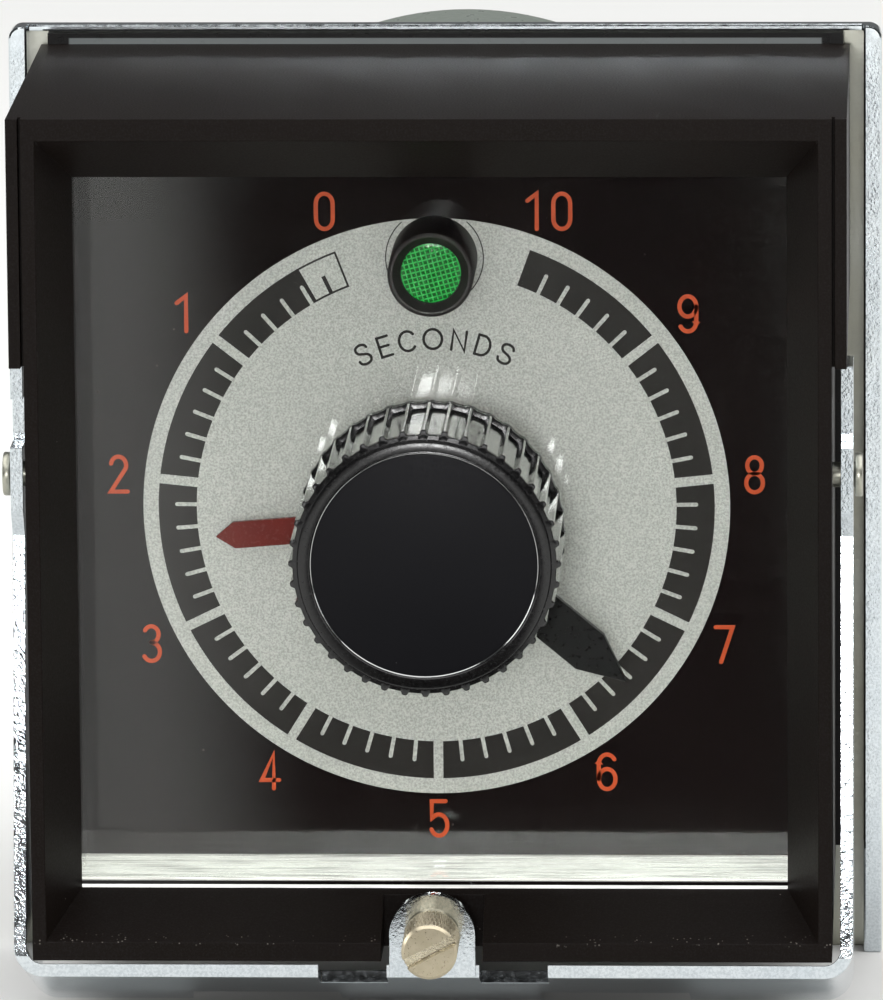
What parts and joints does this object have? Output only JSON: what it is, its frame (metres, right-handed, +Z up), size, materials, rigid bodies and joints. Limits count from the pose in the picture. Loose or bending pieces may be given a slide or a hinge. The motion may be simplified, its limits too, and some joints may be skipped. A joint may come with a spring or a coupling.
{
  "type": "panel reset timer",
  "caption": "Panel-mounted reset timer with a dial under a clear window, two hands, a pilot lamp, a ribbed setting knob, a hinged strap and a round motor can behind.",
  "frame": {"origin": "on the spindle axis, in the plane where the back of the panel plate seats on its panel, at the centre of the stud pattern", "axes": "+X to the right of the dial, +Y back through the panel, +Z up the dial"},
  "size_m": [0.1058, 0.1336, 0.1152],
  "materials": {
    "black_moulding": "fine matte grain, moulded",
    "clear_acrylic": "clear polished plastic",
    "dial_black": "printed satin black with a silver disc",
    "lens_green": "green cross-ribbed lens",
    "lamp_black": "gloss black",
    "bulb_glass": "clear",
    "zinc_steel": "zinc plated sheet",
    "flange_grey": "light grey paint",
    "bright_chrome": "bright plate over sheet steel",
    "nickel": "nickel plated, turned",
    "can_grey": "light grey paint",
    "phenolic": "black phenolic",
    "foot_rubber": "black rubber",
    "brass": "turned and cut",
    "knob_black": "black plastic",
    "hand_black": "black paint",
    "hand_red": "dark red paint",
    "spring_steel": "blued strip",
    "coil_winding": "taped winding",
    "soft_iron": "plated iron",
    "switch_case": "dark brown plastic"
  },
  "bodies": {
    "case": {"hood": "black_moulding", "window": "clear_acrylic", "dial_plate": "dial_black", "lamp_barrel": "lamp_black", "lamp_lens": "lens_green", "lamp_holder": "switch_case", "neon_bulb": "bulb_glass", "front_plate": "zinc_steel", "bridge_plate": "zinc_steel", "chassis_flange": "flange_grey", "spacers": "nickel", "tie_screws": "zinc_steel", "case_screws": "zinc_steel", "panel_plate": "zinc_steel", "panel_studs": "zinc_steel", "trim_frame": "bright_chrome", "housing_can": "can_grey", "terminal_box": "phenolic", "terminal_plates": "brass", "terminal_screws": "nickel", "rear_feet": "foot_rubber", "spindle_bush": "brass", "bush_nut": "nickel", "return_spring": "spring_steel", "motor_case": "zinc_steel", "field_coil": "coil_winding", "solenoid_coil": "coil_winding", "solenoid_yoke": "soft_iron", "trip_switch_1": "switch_case", "trip_switch_2": "switch_case", "switch_tags": "brass", "cross_pins": "nickel", "pivot_studs": "nickel", "threaded_insert": "brass"},
    "knob": {"knob_core": "knob_black", "knob_grip": "bright_chrome", "knob_inlay": "hand_black", "knob_ring": "bright_chrome", "knob_setscrew": "zinc_steel", "setting_shaft": "nickel", "set_hand": "hand_black", "setting_arm": "zinc_steel"},
    "elapsed": {"elapsed_sleeve": "brass", "elapsed_hand": "hand_red", "elapsed_wheel": "brass", "trip_finger": "zinc_steel"},
    "arbor": {"arbor": "nickel", "arbor_pinion": "brass", "arbor_wheel": "brass", "clutch_disc": "soft_iron"},
    "rotor": {"rotor": "soft_iron", "motor_shaft": "nickel", "motor_pinion": "brass"},
    "armature": {"armature": "soft_iron"},
    "lever": {"trip_lever": "zinc_steel"},
    "plunger_1": {"switch_plunger_1": "switch_case"},
    "plunger_2": {"switch_plunger_2": "switch_case"},
    "strap": {"strap": "bright_chrome"},
    "screw_ring": {"captive_ring": "nickel"},
    "screw": {"thumb_screw": "nickel"}
  },
  "joints": [
    {"name": "knob_turn", "type": "hinge", "parent": "case", "child": "knob", "pos_m": [0, -0.05, 0], "axis": [0, 1, 0], "range_deg": [-109.8, 210.2]},
    {"name": "elapsed_turn", "type": "hinge", "parent": "case", "child": "elapsed", "pos_m": [0, -0.035, 0], "axis": [0, 1, 0], "range_deg": [-245.4, 74.6]},
    {"name": "arbor_turn", "type": "hinge", "parent": "case", "child": "arbor", "pos_m": [0.02026, -0.022, 0.0024], "axis": [0, 1, 0], "range_deg": [-559.6, 1840.6]},
    {"name": "rotor_turn", "type": "hinge", "parent": "case", "child": "rotor", "pos_m": [0, 0.008, 0.0048], "axis": [0, 1, 0], "range_deg": [-13804, 4196.5]},
    {"name": "armature_swing", "type": "hinge", "parent": "case", "child": "armature", "pos_m": [0.0278, -0.0227, 0.0141], "axis": [0, 1, 0], "range_deg": [0, 5], "stiffness_Nm_per_rad": 0.005, "springref_deg": -8.59},
    {"name": "lever_swing", "type": "hinge", "parent": "case", "child": "lever", "pos_m": [-0.003, -0.023, -0.02415], "axis": [0, -1, 0], "range_deg": [0, 3.4], "stiffness_Nm_per_rad": 0.01, "springref_deg": -11.46},
    {"name": "plunger_1_press", "type": "slide", "parent": "case", "child": "plunger_1", "axis": [0, 0, -1], "range_m": [0, 0.00105]},
    {"name": "plunger_2_press", "type": "slide", "parent": "case", "child": "plunger_2", "axis": [0, 0, -1], "range_m": [0, 0.00105]},
    {"name": "strap_swing", "type": "hinge", "parent": "case", "child": "strap", "pos_m": [0, -0.0468, 0.006], "axis": [-1, 0, 0], "range_deg": [0, 95]},
    {"name": "screw_out", "type": "slide", "parent": "strap", "child": "screw_ring", "axis": [0, -1, 0], "range_m": [0, 0.0036]},
    {"name": "screw_turn", "type": "hinge", "parent": "screw_ring", "child": "screw", "pos_m": [0, -0.062, -0.0475], "axis": [0, -1, 0], "range_deg": [0, 2592.1]}
  ],
  "couplings": [
    {"joint": "arbor_turn", "follows": "elapsed_turn", "ratio": -7.5},
    {"joint": "rotor_turn", "follows": "elapsed_turn", "ratio": 56.25},
    {"joint": "plunger_1_press", "follows": "lever_swing", "m_per_rad": 0.017},
    {"joint": "plunger_2_press", "follows": "lever_swing", "m_per_rad": 0.017},
    {"joint": "screw_turn", "follows": "screw_out", "rad_per_m": 12566}
  ]
}
